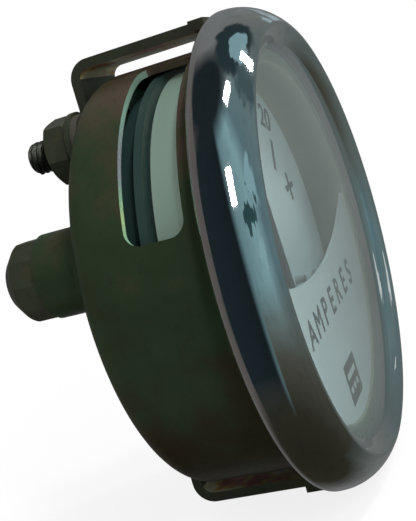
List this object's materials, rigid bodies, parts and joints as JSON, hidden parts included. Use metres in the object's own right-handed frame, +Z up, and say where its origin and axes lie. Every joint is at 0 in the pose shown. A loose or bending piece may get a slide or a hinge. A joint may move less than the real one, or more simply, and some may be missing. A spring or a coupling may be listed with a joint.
{
  "type": "analog panel meter",
  "caption": "Round panel meter with a chromed bezel, a lit centre-zero dial, a pivoted pointer, rear terminals and a strap bracket.",
  "frame": {"origin": "centre of the bezel's rear face, where the panel bears", "axes": "+Y out of the rear of the meter, +Z up the dial, so the dial faces minus Y"},
  "size_m": [0.059, 0.0355, 0.059],
  "materials": {
    "bezel_chrome": "polished",
    "zinc_case": "yellow passivated zinc plate",
    "zinc_bracket": "yellow passivated zinc plate, dulled",
    "clear_glass": "polished",
    "gasket_rubber": "matt",
    "ring_plastic": "translucent, satin",
    "screen_plastic": "satin",
    "dial_white": "matt white paint",
    "pointer_black": "matt black lacquer",
    "brass": "turned",
    "steel": "plated",
    "magnet_alloy": "ground",
    "insulator": "fibre board",
    "lamp_shell": "yellow passivated zinc plate",
    "bulb_glass": "polished"
  },
  "bodies": {
    "housing": {"case": "zinc_case", "bezel": "bezel_chrome", "glass": "clear_glass", "gasket": "gasket_rubber", "light_ring": "ring_plastic", "light_screen": "screen_plastic", "mask_plate": "dial_white", "scale_plate": "dial_white", "stop_pins": "steel", "dial_screws": "steel", "dial_posts": "brass", "front_bush": "brass", "foot_bearing": "brass", "magnet": "magnet_alloy", "frame_plate": "brass", "bridge": "brass", "frame_posts": "brass", "frame_screws": "steel", "hex_nuts": "steel", "terminal_bushes": "insulator", "inner_washers": "insulator", "terminal_washers": "steel", "terminal_studs": "steel", "current_bar": "brass", "bracket": "zinc_bracket", "bracket_stud": "steel", "bracket_spacer": "steel", "spring_washer": "steel", "lamp_holder": "lamp_shell", "lamp_contact": "brass", "contact_ring": "insulator", "bulb_base": "brass", "bulb": "bulb_glass"},
    "movement": {"pointer": "pointer_black", "counterweight": "brass", "staff": "steel", "armature": "steel"}
  },
  "joints": [
    {"name": "pointer_swing", "type": "hinge", "parent": "housing", "child": "movement", "pos_m": [0, 0.0003, -0.008], "axis": [0, 1, 0], "range_deg": [-36, 36], "stiffness_Nm_per_rad": 0.000015}
  ]
}
